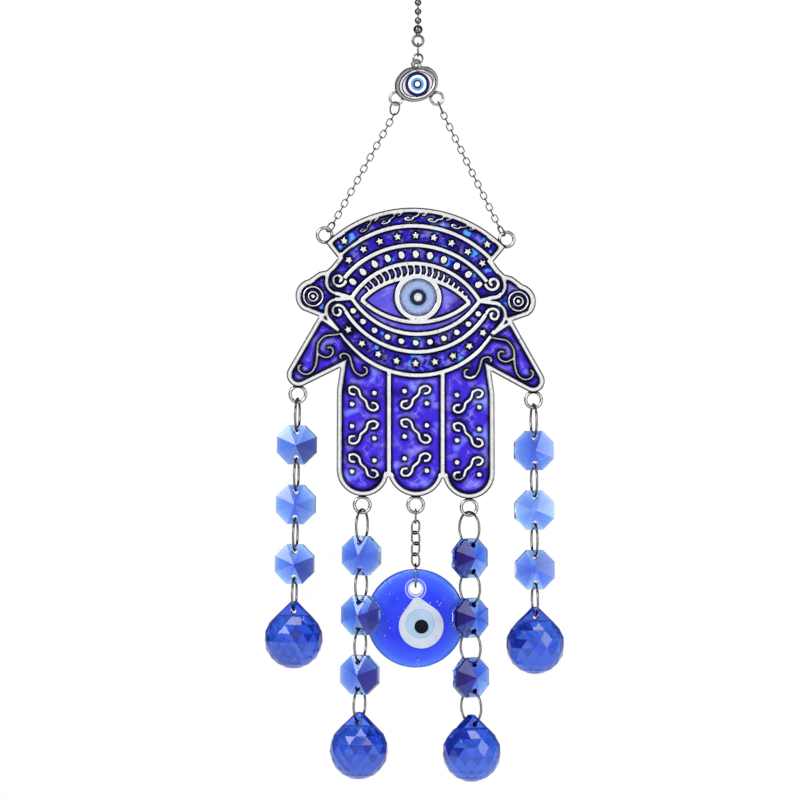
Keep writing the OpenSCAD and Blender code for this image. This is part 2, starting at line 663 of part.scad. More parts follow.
// The ball's facets run between staggered rings of corners: shares of its radius and of its neck
prism_sides = 14;
prism_rings_share = [for (a = [-74, -57, -39, -21, -3, 15, 33]) [cos(a), sin(a)]];
neck_rings_share = [[0.60, 0.62], [0.36, 0.80], [0.12, 0.985]];
function prism_rings() = concat([for (p = prism_rings_share) p * prism_d / 2],
    [for (p = neck_rings_share) [p[0] * prism_d / 2, p[1] * prism_neck]]);
function prism_points() = concat([[0, 0, -prism_d / 2]],
    [for (k = [0:len(prism_rings()) - 1], i = [0:prism_sides - 1])
        let (r = prism_rings()[k], a = 360 / prism_sides * (i + (k % 2) / 2)) [r[0] * cos(a),
            r[0] * sin(a), r[1]]],
    [[0, 0, prism_neck]]);
function corner(k, i) = 1 + k * prism_sides + (i + prism_sides) % prism_sides;
function prism_faces() = let (last = len(prism_rings()) - 1, tip = 1 + (last + 1) * prism_sides) concat(
    [for (i = [0:prism_sides - 1]) [0, corner(0, i), corner(0, i + 1)]],
    [for (k = [0:last - 1], i = [0:prism_sides - 1]) [corner(k, i), corner(k + 1, i + k % 2), corner(k,
        i + 1)]],
    [for (k = [0:last - 1], i = [0:prism_sides - 1]) k % 2 == 0
        ? [corner(k, i + 1), corner(k + 1, i), corner(k + 1, i + 1)]
        : [corner(k, i), corner(k + 1, i), corner(k + 1, i + 1)]],
    [for (i = [0:prism_sides - 1]) [tip, corner(last, i + 1), corner(last, i)]]);
module strand_ball(s) {
    color(ball_blue) at_strand(s) translate([0, 0, prism_z]) difference() {
        polyhedron(prism_points(), prism_faces());
        for (y = [prism_tab / 2, -prism_tab / 2 - prism_d]) translate([-prism_d, y,
            neck_rings_share[0][1] * prism_neck])
            cube([2 * prism_d, prism_d, prism_neck]);
        translate([0, 0, prism_hole_z]) glass_hole(prism_d);
    }
}

// The glass eye: its chain leans back, and the closing ring and the disc hang upright
module at_middle() translate([middle_loop[0], 0, middle_loop[1] - loop_d / 2]) children();
module leaning() at_middle() rotate([eye_lean, 0, 0]) children();
module eye_long_link() color(steel) leaning() translate([0, 0, long_link_top - long_link_l / 2])
    rotate([0, 0, 90])
    oval_link(long_link_l, closing_wide_share * curb_w / 2, curb_wire);
module eye_curb_links() color(steel) leaning() for (i = [0:curb_count - 1])
    translate([0, 0, curb_start - (curb_pitch + curb_wire + play) / 2 - i * curb_pitch])
        rotate([0, 0, i % 2 == 0 ? 42 : -42]) oval_link(curb_pitch + curb_wire + play, curb_w - curb_wire,
            curb_wire);
module behind() at_middle() translate([0, disc_setback, 0]) children();
module eye_closing_ring() color(steel) behind() translate([0, 0, closing_top - closing_long / 2])
    rotate([0, 0, 90])
    oval_link(closing_long, closing_wide, curb_wire);
disc_turns = 12;
function disc_edge() = [for (i = [0:disc_turns]) let (a = 90 * i / disc_turns)
    [disc_d / 2 * pow(sin(a), 1 / 2), disc_thick / 2 * pow(cos(a), 1 / 2)]];
drop_share = [0.113, -0.147, 0.455];
drop_tail_share = [0.03, 0.33];
drop_tail_r_share = 0.11;
blue_share = [0.093, -0.096, 0.294];
eye_dot_share = [0.117, -0.158, 0.141];
module drop_outline() hull() {
    translate([drop_share[0], drop_share[1]] * disc_d / 2) circle(r = drop_share[2] * disc_d / 2, $fn = 60);
    translate(drop_tail_share * disc_d / 2) circle(r = drop_tail_r_share * disc_d / 2, $fn = 24);
}
layer_share = 0.06;
layer = layer_share * disc_thick;
module at_disc() behind() translate([0, 0, disc_z]) children();
module eye_disc() color(cobalt) at_disc() difference() {
    rotate([90, 0, 0]) rotate_extrude($fn = 96)
        polygon(concat(disc_edge(), [for (p = reversed(disc_edge())) if (p[1] > seat) [p[0], -p[1]]]));
    translate([0, 0, disc_hole_up]) rotate([90, 0, 0]) cylinder(h = 2 * disc_thick, d = disc_hole_d,
        center = true, $fn = 48);
    stand(-disc_thick / 2 + 2 * layer, disc_thick) drop_outline();
}
module eye_white() color("white") at_disc() difference() {
    stand(-disc_thick / 2 + 2 * layer - seat, 2 * layer) offset(delta = -seat) drop_outline();
    stand(-disc_thick / 2 + layer, disc_thick) translate([blue_share[0], blue_share[1]] * disc_d / 2)
        circle(r = blue_share[2] * disc_d / 2, $fn = 48);
}
module eye_blue() color("lightblue") at_disc() difference() {
    stand(-disc_thick / 2 + layer - seat, layer) translate([blue_share[0], blue_share[1]] * disc_d / 2)
        circle(r = blue_share[2] * disc_d / 2 - seat, $fn = 48);
    stand(-disc_thick / 2 + layer / 2, disc_thick) translate([eye_dot_share[0],
        eye_dot_share[1]] * disc_d / 2)
        circle(r = eye_dot_share[2] * disc_d / 2, $fn = 40);
}
module eye_pupil() color("black") at_disc() stand(-disc_thick / 2 + layer / 2 - seat, layer)
    translate([eye_dot_share[0], eye_dot_share[1]] * disc_d / 2)
        circle(r = eye_dot_share[2] * disc_d / 2 - seat, $fn = 40);

hang_ring();
upper_coupling();
chain_balls();
chain_pins();
lower_coupling();
link_ring();
charm_frame();
charm_eye();
charm_pupil();
left_upper_ring();
left_chain_links();
left_lower_ring();
right_upper_ring();
right_chain_links();
right_lower_ring();
hand_plate();
enamel_bands();
enamel_eye();
enamel_palm();
iris_glass();
pupil_stone();
eye_long_link();
eye_curb_links();
eye_closing_ring();
eye_disc();
eye_white();
eye_blue();
eye_pupil();
for (s = [0:3], n = RINGS) strand_ring(s, n);
for (s = [0:3], n = BEADS) strand_bead(s, n);
for (s = [0:3]) strand_ball(s);
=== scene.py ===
import bpy, math
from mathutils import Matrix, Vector


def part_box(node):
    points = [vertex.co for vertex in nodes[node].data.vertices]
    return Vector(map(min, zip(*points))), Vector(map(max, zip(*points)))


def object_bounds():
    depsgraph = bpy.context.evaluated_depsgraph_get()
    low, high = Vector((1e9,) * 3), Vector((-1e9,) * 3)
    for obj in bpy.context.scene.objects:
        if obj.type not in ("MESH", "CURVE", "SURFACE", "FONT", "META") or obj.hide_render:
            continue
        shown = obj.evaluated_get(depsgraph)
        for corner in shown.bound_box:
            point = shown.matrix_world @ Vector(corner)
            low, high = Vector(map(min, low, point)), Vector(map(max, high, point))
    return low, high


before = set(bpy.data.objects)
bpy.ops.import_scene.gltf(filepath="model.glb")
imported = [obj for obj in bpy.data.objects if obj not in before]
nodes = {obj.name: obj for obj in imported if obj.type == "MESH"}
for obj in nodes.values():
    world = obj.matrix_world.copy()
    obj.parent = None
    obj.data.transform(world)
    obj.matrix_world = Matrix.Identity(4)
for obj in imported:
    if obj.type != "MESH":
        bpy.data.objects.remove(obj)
cad_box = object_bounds()
MM = 0.001


def centre_of(node):
    """The middle of a node's box, in metres."""
    low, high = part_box(node)
    return tuple((a + b) / 2 for a, b in zip(low, high))


# Places and sizes that the materials follow, all from the frame
iris_centre = centre_of("iris_glass")
charm_centre = centre_of("charm_eye")
disc_centre = centre_of("eye_disc")
disc_radius = (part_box("eye_disc")[1][0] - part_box("eye_disc")[0][0]) / 2 / MM
disc_hole = (disc_centre[0], 0, disc_centre[2] + 0.6 * disc_radius * MM)
finger_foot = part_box("enamel_palm")[0][2]


# Node trees
class Nodes:
    """A node tree, with short calls for the nodes that the materials and the room use."""

    def __init__(self, tree):
        self.tree = tree
        self.kept_place = None

    def node(self, kind, **settings):
        made = self.tree.nodes.new(kind)
        for key, value in settings.items():
            setattr(made, key, value)
        return made

    def link(self, source, target):
        self.tree.links.new(source, target)

    def place(self):
        """The surface's place in metres, before any pose."""
        if self.kept_place is None:
            self.kept_place = self.node("ShaderNodeTexCoord").outputs["Object"]
        return self.kept_place

    def direction(self):
        """The surface's own direction, before any pose."""
        return self.node("ShaderNodeTexCoord").outputs["Normal"]

    def along(self, vector, axis):
        parts = self.node("ShaderNodeSeparateXYZ")
        self.link(vector, parts.inputs[0])
        return parts.outputs[axis]

    def way(self, axis):
        return self.along(self.direction(), axis)

    def vector(self, operation, first, second=None):
        """A vector sum or measure: the second input is a fixed vector or another node's output."""
        made = self.node("ShaderNodeVectorMath", operation=operation)
        self.link(first, made.inputs[0])
        if isinstance(second, (tuple, list)):
            made.inputs[1].default_value = second
        elif second is not None:
            self.link(second, made.inputs[1])
        return made.outputs["Value" if operation in ("LENGTH", "DOT_PRODUCT") else "Vector"]

    def math(self, operation, *values, clamp=False):
        made = self.node("ShaderNodeMath", operation=operation, use_clamp=clamp)
        for socket, value in zip(made.inputs, values):
            if isinstance(value, (int, float)):
                socket.default_value = value
            else:
                self.link(value, socket)
        return made.outputs[0]

    def times(self, first, second):
        return self.math("MULTIPLY", first, second)

    def noise(self, scale, detail=3.0, rough=0.5, vector=None):
        """Smooth noise from 0 to 1, with about so many waves to the metre as its scale says."""
        made = self.node("ShaderNodeTexNoise")
        made.inputs["Scale"].default_value = scale
        made.inputs["Detail"].default_value = detail
        made.inputs["Roughness"].default_value = rough
        self.link(vector or self.place(), made.inputs["Vector"])
        return made.outputs["Fac"]

    def cells(self, scale):
        """Distance from the middles of scattered cells, in cells."""
        made = self.node("ShaderNodeTexVoronoi")
        made.inputs["Scale"].default_value = scale
        self.link(self.place(), made.inputs["Vector"])
        return made.outputs["Distance"]

    def ramp(self, amount, stops):
        """Tones between stops, each a place from 0 to 1 with a grey or a colour."""
        made = self.node("ShaderNodeValToRGB")
        elements = made.color_ramp.elements
        while len(elements) < len(stops):
            elements.new(0.5)
        for element, (at, tone) in zip(elements, stops):
            element.position = at
            element.color = (tone, tone, tone, 1) if isinstance(tone, (int, float)) else tuple(tone) + (1,)
        self.link(amount, made.inputs[0])
        return made.outputs[0]

    def mix(self, amount, first, second):
        """From the first colour to the second, as the amount goes from 0 to 1."""
        made = self.node("ShaderNodeMix", data_type="RGBA")
        amount_socket, first_socket, second_socket = (made.inputs[at] for at in (0, 6, 7))
        self.link(amount, amount_socket)
        for socket, value in ((first_socket, first), (second_socket, second)):
            if isinstance(value, tuple):
                socket.default_value = value + (1,)
            else:
                self.link(value, socket)
        return made.outputs[2]

    def span(self, centre):
        """Distance in millimetres from the line through centre along Y."""
        away = self.vector("SUBTRACT", self.place(), centre)
        return self.vector("LENGTH", self.vector("MULTIPLY", away, (1 / MM, 0, 1 / MM)))

    def rounded(self, radius, samples):
        """The surface's direction with its sharp edges rounded off."""
        made = self.node("ShaderNodeBevel", samples=samples)
        made.inputs["Radius"].default_value = radius
        return made.outputs[0]

    def bend(self, radius):
        """How far the surface's direction turns within a radius: 0 away from its edges."""
        flat = self.node("ShaderNodeNewGeometry").outputs["True Normal"]
        return self.math("SUBTRACT", 1.0, self.vector("DOT_PRODUCT", self.rounded(radius, 8), flat))

    def edge(self, radius, full=0.25):
        """1 near a sharp edge of the surface, and 0 away from it."""
        return self.ramp(self.bend(radius), [(0, 0), (full, 1)])

    def openness(self, distance):
        """0 deep in a hollow, and 1 where nothing stands within a distance."""
        made = self.node("ShaderNodeAmbientOcclusion", samples=8)
        made.inputs["Distance"].default_value = distance
        return made.outputs["AO"]


class Mat(Nodes):
    """A material with one main shader."""

    def __init__(self, name, **values):
        self.material = bpy.data.materials.new(name)
        self.material.use_nodes = True
        super().__init__(self.material.node_tree)
        self.shader = self.tree.nodes["Principled BSDF"]
        self.output = self.tree.nodes["Material Output"]
        for key, value in values.items():
            self.shader.inputs[key.replace("_", " ")].default_value = value

    def drive(self, name, source):
        self.link(source, self.shader.inputs[name])

    def relief(self, height, strength, depth, round_edge=0.0):
        """Small bumps on the surface, and sharp edges rounded in the light."""
        bump = self.node("ShaderNodeBump")
        bump.inputs["Strength"].default_value = strength
        bump.inputs["Distance"].default_value = depth
        self.link(height, bump.inputs["Height"])
        if round_edge:
            self.link(self.rounded(round_edge, 6), bump.inputs["Normal"])
        self.drive("Normal", bump.outputs[0])


# Metals, with the scales of their grit and of the patches in their polish
SAND = 420
PATCHES = 700


def sandy_back(m, tone):
    """Grey grit where the surface faces the back."""
    sand = m.ramp(m.noise(SAND, 5, 0.65), [(0.35, 0.20), (0.65, 0.50)])
    return m.mix(m.ramp(m.way("Y"), [(0.5, 0), (0.8, 1)]), tone, sand)


def finish_metal(m, tone, dark, rough, hollow, round_edge, pit):
    """Dark hollows, uneven polish, fine pits and rounded edges."""
    open_part = m.ramp(m.openness(hollow), [(0.25, 0), (0.85, 1)])
    m.drive("Base Color", m.mix(open_part, dark, tone))
    m.drive("Roughness", m.ramp(m.noise(PATCHES, 3), [(0.25, rough * 0.7), (0.8, rough * 1.5)]))
    m.relief(m.noise(pit, 3, 0.6), 0.12, 0.06 * MM, round_edge)
    return m.material


def metal(name, bright, side, dark, rough, hollow, round_edge, pit=1400, line=0, grain=0.25, rim_part=None):
    """Cast or drawn metal: sandy at its back, with painted shade on a wire's sides and along its edges."""
    m = Mat(name, Metallic=1.0)
    dull = tuple(c * (1 - grain) for c in bright)
    tone = sandy_back(m, m.ramp(m.noise(260, 4, 0.6), [(0.3, dull), (0.65, bright)]))
    # Painted shade: where the surface turns from the front, as on a wire's sides, it takes the side colour,
    # which the pits take too
    front_lit = m.ramp(m.math("ABSOLUTE", m.way("Y")), [(0.72, 0), (0.97, 1)])
    tone = m.mix(front_lit, side, tone)
    pits = m.ramp(m.noise(1500, 2), [(0.66, 0), (0.74, 1)])
    tone = m.mix(m.times(pits, 0.7), tone, side)
    # Painted shade: a dark line along the sharp edges
    if line:
        tone = m.mix(m.edge(line, 0.035), tone, dark)
    # Painted shade: a wider dark line along the edges of the hand's outer rim
    if rim_part:
        tone = m.mix(m.times(m.edge(1.1 * MM, 0.03), rim_part(m)), tone, dark)
    return finish_metal(m, tone, dark, rough, hollow, round_edge, pit)


# What lies inside the hand's outer rim: the round of the eye, the three fingers, and spots in millimetres
eye_round = 29.5
fingers_half = 24.7 * MM
finger_tip = 6 * MM
fingers_below_eye = 28 * MM
knobs = ((-37.1, -124.3, 4.9), (36.0, -126.1, 4.9))
end_stars = ((-26.1, -104.6, 2.2), (24.9, -106.0, 2.2))


def hand_rim(m):
    """1 on the hand's outer rim, and 0 in the round of the eye, along the fingers, and on the side knobs and
    the top band's end stars, each of which is an x, a z and a reach in millimetres."""
    x = m.along(m.place(), "X")
    z = m.along(m.place(), "Z")
    aside = m.math("GREATER_THAN", m.math("ABSOLUTE", x), fingers_half)
    below = m.math("LESS_THAN", z, finger_foot + finger_tip)
    above = m.math("GREATER_THAN", z, iris_centre[2] - fingers_below_eye)
    off_fingers = m.math("MAXIMUM", m.math("MAXIMUM", aside, below), above)
    outside = m.times(m.math("GREATER_THAN", m.span(iris_centre), eye_round), off_fingers)
    for spot_x, spot_z, reach in knobs + end_stars:
        clear = m.math("GREATER_THAN", m.span((spot_x * MM, 0, spot_z * MM)), reach)
        outside = m.times(outside, clear)
    return outside


silver = metal("cast_silver", bright=(0.97, 0.97, 0.98), side=(0.03, 0.03, 0.035),
               dark=(0.006, 0.006, 0.012), rough=0.16, hollow=0.7 * MM, round_edge=0.7 * MM, pit=900,
               line=0.5 * MM, grain=0.12, rim_part=hand_rim)
nickel = metal("nickel", bright=(0.26, 0.26, 0.27), side=(0.07, 0.07, 0.075),
               dark=(0.015, 0.015, 0.016), rough=0.16, hollow=1.0 * MM, round_edge=0.2 * MM, line=0.12 * MM)
steel = metal("ring_steel", bright=(0.32, 0.32, 0.33), side=(0.06, 0.06, 0.065),
              dark=(0.015, 0.015, 0.016), rough=0.2, hollow=0.8 * MM, round_edge=0.1 * MM)
chain_steel = metal("chain_steel", bright=(0.13, 0.13, 0.13), side=(0.05, 0.05, 0.05),
                    dark=(0.015, 0.015, 0.015), rough=0.22, hollow=0.7 * MM, round_edge=0.1 * MM)

charm_tilt = math.radians(18)
charm_half_wide = 7.9 * MM
charm_half_high = 6.3 * MM
charm_steps = [(0.60, 0.92), (0.66, 0.9), (0.69, 0.02), (0.72, 0.03), (0.745, 0.95), (0.80, 0.9),
               (0.825, 0.02), (0.86, 0.05), (0.885, 0.55), (0.93, 0.28), (0.97, 0.22), (0.995, 0.02),
               (1.02, 0.02), (1.06, 0.42)]
# A ramp ends at 1, so the oval's tones are fitted into it with this share
ramp_share = 0.8
curl_from = 5 * MM
curl_full = 6 * MM


def charm_metal():
    """Cast oval frame: bright rim and dish with dark grooves along the oval, and a dark curl above it."""
    m = Mat("charm_silver", Metallic=1.0)
    dark = (0.01, 0.01, 0.015)
    away = m.vector("SUBTRACT", m.place(), charm_centre)
    turned = m.node("ShaderNodeVectorRotate", rotation_type="AXIS_ANGLE")
    turned.inputs["Axis"].default_value = (0, 1, 0)
    turned.inputs["Angle"].default_value = charm_tilt
    m.link(away, turned.inputs["Vector"])
    oval = m.vector("MULTIPLY", turned.outputs[0], (1 / charm_half_wide, 0, 1 / charm_half_high))
    uneven = m.times(m.math("SUBTRACT", m.noise(300, 2), 0.5), 0.03)
    out = m.math("ADD", m.vector("LENGTH", oval), uneven)
    tone = m.ramp(m.times(out, ramp_share), [(at * ramp_share, grey) for at, grey in charm_steps])
    curl_scale = 0.1 / MM
    height = m.times(m.along(away, "Z"), curl_scale)
    curl = m.ramp(height, [(curl_from * curl_scale, 0), (curl_full * curl_scale, 1)])
    tone = m.mix(curl, tone, m.ramp(m.noise(SAND, 3), [(0.40, 0.03), (0.60, 0.34)]))
    tone = sandy_back(m, tone)
    # Painted shade: the frame's sides, turned from the front, are painted dark grey
    front_lit = m.ramp(m.math("ABSOLUTE", m.way("Y")), [(0.3, 0), (0.6, 1)])
    tone = m.mix(front_lit, (0.12, 0.12, 0.13), tone)
    # Painted shade: a dark line along the sharp edges
    tone = m.mix(m.edge(0.2 * MM), tone, dark)
    return finish_metal(m, tone, dark, rough=0.2, hollow=0.6 * MM, round_edge=0.5 * MM, pit=900)


charm_silver = charm_metal()


# Enamel and painted eyes
def enamel(name, deep, middle, painted_glint, painted_glint_at, scale=110, line=1.4 * MM):
    """Clouded enamel: painted sheen, glints and highlights, and a black line of painted shade along the
    ridges.
    """
    painted_sheen = (0.46, 0.44, 0.95)
    pool_highlight = (0.66, 0.64, 0.99)
    shade_black = (0.0012, 0.0010, 0.005)
    m = Mat(name, Roughness=0.2, Coat_Weight=0.05, Coat_Roughness=0.05, IOR=1.5, Specular_IOR_Level=0.03)
    flow = m.noise(scale, 1.5, 0.45)
    # The ramp runs from the enamel's deep and middle colours up to pale painted glints at its top
    tone = m.ramp(flow, [(0.30, deep), (0.45, middle), (0.62, middle), (painted_glint_at, painted_glint)])
    # Painted sheen: pale violet cloudy patches stand in for soft reflections on the enamel
    flat = m.vector("MULTIPLY", m.place(), (1.0, 1.0, 1.3))
    sheen_clouds = m.ramp(m.noise(scale * 1.3, 2, 0.5, flat), [(0.53, 0), (0.70, 1)])
    tone = m.mix(m.times(sheen_clouds, 0.30), tone, painted_sheen)
    # Painted highlights: pale bands a little inside the ridges, broken up by noise
    highlight_band = m.ramp(m.bend(4.0 * MM), [(0.004, 0), (0.010, 1), (0.020, 0.9), (0.032, 0)])
    broken = m.ramp(m.noise(scale * 1.6, 2, 0.5), [(0.46, 0), (0.58, 1)])
    tone = m.mix(m.times(m.times(highlight_band, broken), 0.85), tone, pool_highlight)
    # Painted shade: a black line along the ridges
    m.drive("Base Color", m.mix(m.edge(line, 0.04), tone, shade_black))
    m.relief(m.noise(160, 2), 0.6, 1.2 * MM, 1.1 * MM)
    return m.material


def rings(name, centre, stops, size, glitter=0.0, glitter_reach=9.0):
    """Rings of colour about a centre: each stop is a radius in millimetres and a colour."""
    m = Mat(name, Roughness=0.15, Coat_Weight=0.15, Coat_Roughness=0.04, Specular_IOR_Level=0.15)
    uneven = m.times(m.math("SUBTRACT", m.noise(900, 2), 0.5), 0.25)
    out = m.math("ADD", m.span(centre), uneven)
    tone = m.ramp(m.math("DIVIDE", out, size), [(radius / size, colour) for radius, colour in stops])
    if glitter:
        specks = m.times(m.ramp(m.noise(2600, 2), [(0.4, 0), (0.7, 1)]), glitter)
        inside = m.math("LESS_THAN", out, glitter_reach)
        tone = m.mix(m.times(specks, inside), tone, (0.85, 0.88, 0.95))
    m.drive("Base Color", tone)
    m.relief(m.noise(500, 2), 0.12, 0.2 * MM, 0.25 * MM)
    return m.material


def paint(name, colour, patches):
    """Smooth opaque glass with faint patches of a second colour."""
    m = Mat(name, Roughness=0.15, Coat_Weight=0.06, Coat_Roughness=0.03, Specular_IOR_Level=0.06)
    m.drive("Base Color", m.ramp(m.noise(380, 3), [(0.3, patches), (0.7, colour)]))
    m.relief(m.noise(240, 2), 0.15, 0.3 * MM, 0.1 * MM)
    return m.material


bands = enamel("enamel_bands", deep=(0.004, 0.002, 0.05), middle=(0.018, 0.010, 0.33),
               painted_glint=(0.06, 0.28, 0.92), painted_glint_at=0.68, scale=230, line=1.6 * MM)
field = enamel("enamel_eye", deep=(0.035, 0.018, 0.24), middle=(0.085, 0.065, 0.50),
               painted_glint=(0.48, 0.46, 0.92), painted_glint_at=0.74)
palm = enamel("enamel_palm", deep=(0.010, 0.004, 0.16), middle=(0.040, 0.018, 0.48),
              painted_glint=(0.16, 0.20, 0.90), painted_glint_at=0.70, line=1.9 * MM)

iris = rings("iris", iris_centre,
             [(2.65, (0.004, 0.004, 0.01)), (2.85, (0.03, 0.07, 0.30)), (3.1, (0.11, 0.23, 0.56)),
              (3.5, (0.12, 0.23, 0.54)), (3.9, (0.22, 0.29, 0.45)), (5.4, (0.19, 0.25, 0.40)),
              (5.9, (0.06, 0.10, 0.26)), (6.5, (0.008, 0.015, 0.09))], size=7.0, glitter=0.2)
pupil = rings("pupil", iris_centre,
              [(0.6, (0.42, 0.45, 0.52)), (1.3, (0.30, 0.33, 0.40)), (1.55, (0.01, 0.01, 0.015)),
               (2.6, (0.01, 0.01, 0.02))], size=3.0, glitter=0.6, glitter_reach=1.5)
charm_eye = rings("charm_eye", charm_centre,
                  [(1.3, (0.01, 0.01, 0.02)), (1.6, (0.10, 0.30, 0.72)), (2.3, (0.12, 0.32, 0.75)),
                   (2.5, (0.88, 0.90, 0.93)), (3.1, (0.85, 0.88, 0.92)), (3.35, (0.002, 0.003, 0.05)),
                   (4.3, (0.003, 0.005, 0.08))], size=5.0)
charm_pupil = rings("charm_pupil", charm_centre,
                    [(0.75, (0.92, 0.93, 0.95)), (0.95, (0.01, 0.01, 0.015)), (1.4, (0.01, 0.01, 0.015))],
                    size=2.0)
white = paint("eye_white", (0.49, 0.53, 0.61), (0.44, 0.48, 0.58))
pale_blue = paint("eye_pale_blue", (0.34, 0.46, 0.58), (0.29, 0.41, 0.56))
black = paint("eye_black", (0.002, 0.002, 0.004), (0.006, 0.006, 0.010))


# Glass
def clear_glass(name):
    """Smooth glass with slight ripples and softened edges."""
    m = Mat(name, IOR=1.52, Roughness=0.0, Specular_IOR_Level=0.22)
    m.relief(m.noise(320, 1), 0.03, 0.2 * MM, 0.12 * MM)
    return m


ball_deep = (0.005, 0.008, 0.22)
ball_middle = (0.022, 0.10, 0.88)
ball_pale = (0.09, 0.25, 0.98)


def ball_glass(name, side):
    """Faceted ball, toned by the way each facet faces: painted light below and away from side, painted shade
    round to side.
    """
    m = clear_glass(name)
    facet = m.noise(7.0, 0.0, 0.5, m.direction())
    tone = m.ramp(facet, [(0.43, ball_deep), (0.50, ball_middle), (0.58, ball_middle), (0.68, ball_pale)])
    # Painted light: facets turned down, and facets turned away from side, are painted pale
    low = m.ramp(m.times(m.way("Z"), -1.0), [(0.0, 0), (0.28, 0.8)])
    painted_lit = m.ramp(m.times(m.way("X"), -side), [(0.05, 0), (0.25, 0.5)])
    tone = m.mix(m.math("MAXIMUM", low, painted_lit), tone, ball_pale)
    # Painted shade: facets far round to side are painted deep, and let less light through
    round_to_shade = m.math("MULTIPLY_ADD", m.way("X"), side * 0.5, 0.5)
    dark = m.times(m.ramp(round_to_shade, [(0.875, 0), (0.925, 1)]), 0.85)
    tone = m.mix(dark, tone, ball_deep)
    m.drive("Base Color", m.mix(m.ramp(m.noise(220, 2), [(0.3, 0.0), (0.7, 0.25)]), tone, ball_middle))
    m.drive("Transmission Weight", m.math("SUBTRACT", 0.82, m.times(dark, 0.5)))
    inside = m.node("ShaderNodeVolumeAbsorption")
    inside.inputs["Color"].default_value = ball_deep + (1,)
    inside.inputs["Density"].default_value = 20
    m.link(inside.outputs[0], m.output.inputs["Volume"])
    return m.material


bead_tones = [(0.0, (0.035, 0.10, 0.80)), (0.40, (0.08, 0.21, 0.90)), (0.72, (0.15, 0.34, 0.97)),
              (1.0, (0.42, 0.66, 1.0))]
bead_reach = 7.4
facet_lean = 0.93
# How far the facets' noise moves on from bead to bead, so that their facets differ
bead_variety = 90


def bead_glass(name, turn, right, up, strength):
    """Octagon bead, turned about the vertical: deep blue at its middle, paler at its rim, with painted
    highlights at edges.
    The facets of its front that turn right and up, as far as these say, are painted in shade, nearly navy at
    full strength."""
    m = clear_glass(name + "_glass")
    centre = centre_of(name)
    tone = m.ramp(m.math("DIVIDE", m.span(centre), bead_reach), bead_tones)
    own_direction = m.vector("ADD", m.direction(), [c * bead_variety for c in centre])
    facet = m.noise(2.4, 0.0, 0.5, own_direction)
    # Some facets are darker at random, and others get a painted highlight
    tone = m.mix(m.ramp(facet, [(0.40, 0.6), (0.49, 0)]), tone, (0.035, 0.09, 0.66))
    tone = m.mix(m.ramp(facet, [(0.55, 0), (0.64, 0.40)]), tone, (0.46, 0.70, 1.0))
    # Painted highlights: pale lines along the edges between facets
    tone = m.mix(m.times(m.edge(0.5 * MM, 0.05), 0.45), tone, (0.55, 0.78, 1.0))
    # Painted shade: front facets turned right and up, as far as right, up and strength say, go nearly navy
    # and let less light through
    yaw = math.radians(turn)
    across = m.math("SUBTRACT", m.way("X"), facet_lean * math.sin(yaw))
    facing = m.math("ADD", m.times(across, right), m.times(m.way("Z"), up))
    ahead = Vector((math.sin(yaw), -math.cos(yaw), 0))
    front_from = ahead.dot(centre) + 0.3 * MM
    front = m.math("GREATER_THAN", m.vector("DOT_PRODUCT", m.place(), tuple(ahead)), front_from)
    dark = m.times(m.times(m.ramp(facing, [(0.14, 0), (0.20, 1)]), strength), front)
    m.drive("Base Color", m.mix(dark, tone, (0.007, 0.0, 0.14)))
    m.drive("Transmission Weight", m.math("SUBTRACT", 0.92, m.times(dark, 0.6)))
    return m.material


def disc_glass():
    """Cobalt disc: paler towards its rim, with a dark edge, swirls, bubbles and a painted highlight ring at
    its hole.
    """
    m = Mat("cobalt_disc", Roughness=0.12, Coat_Weight=0.08, Coat_Roughness=0.03, IOR=1.5,
            Transmission_Weight=0.35, Specular_IOR_Level=0.08)
    out = m.math("DIVIDE", m.span(disc_centre), disc_radius)
    tone = m.ramp(out, [(0.0, (0.008, 0.022, 0.78)), (0.60, (0.014, 0.035, 0.84)),
                        (0.84, (0.045, 0.11, 0.92)), (0.96, (0.10, 0.26, 0.98)), (1.0, (0.01, 0.05, 0.45))])
    swirl = m.ramp(m.noise(120, 3), [(0.35, 0.0), (0.75, 1.0)])
    tone = m.mix(m.times(swirl, 0.30), tone, (0.06, 0.13, 0.90))
    cells = m.cells(520)
    some = m.ramp(m.noise(210, 1), [(0.52, 0.0), (0.56, 1.0)])
    bubble = m.ramp(cells, [(0.10, 1.0), (0.17, 0.0)])
    tone = m.mix(m.times(m.times(bubble, some), 0.7), tone, (0.45, 0.62, 1.0))
    bubble_rim = m.ramp(cells, [(0.16, 0.0), (0.20, 1.0), (0.26, 0.0)])
    tone = m.mix(m.times(m.times(bubble_rim, some), 0.6), tone, (0.004, 0.01, 0.25))
    # Painted highlights: a pale edge round the hole, then a pale ring, with a faint paleness between them
    hole_reach = 6.0
    hole = m.ramp(m.math("DIVIDE", m.span(disc_hole), hole_reach),
                  [(0.0, 1.0), (0.43, 0.9), (0.48, 0.12), (0.56, 0.10), (0.61, 0.75), (0.66, 0.0)])
    m.drive("Base Color", m.mix(m.times(hole, 0.85), tone, (0.82, 0.88, 0.98)))
    m.relief(m.noise(170, 2), 0.25, 0.5 * MM)
    return m.material


ball_left = ball_glass("ball_glass_left", 1.0)
ball_right = ball_glass("ball_glass_right", -1.0)
cobalt = disc_glass()
strand_turn = {"left_thumb": -6, "left_finger": -20, "right_finger": 36, "right_thumb": 8}
# From each strand's top bead down: how far right and up its facets in painted shade turn, and how dark they
# are
strand_shadows = {"left_thumb": [(0.8, -0.6, 0.9), (0.8, -0.6, 0.35), (0.9, -0.4, 0.8)],
                  "left_finger": [(1.0, 0.0, 0.15), (0.8, -0.6, 0.9), (1.0, -0.1, 0.95)],
                  "right_finger": [(-1.2, 0.0, 1.0)] * 3,
                  "right_thumb": [(0.5, 0.8, 0.2), (0.5, 0.8, 0.1), (0.6, 0.8, 0.5)]}

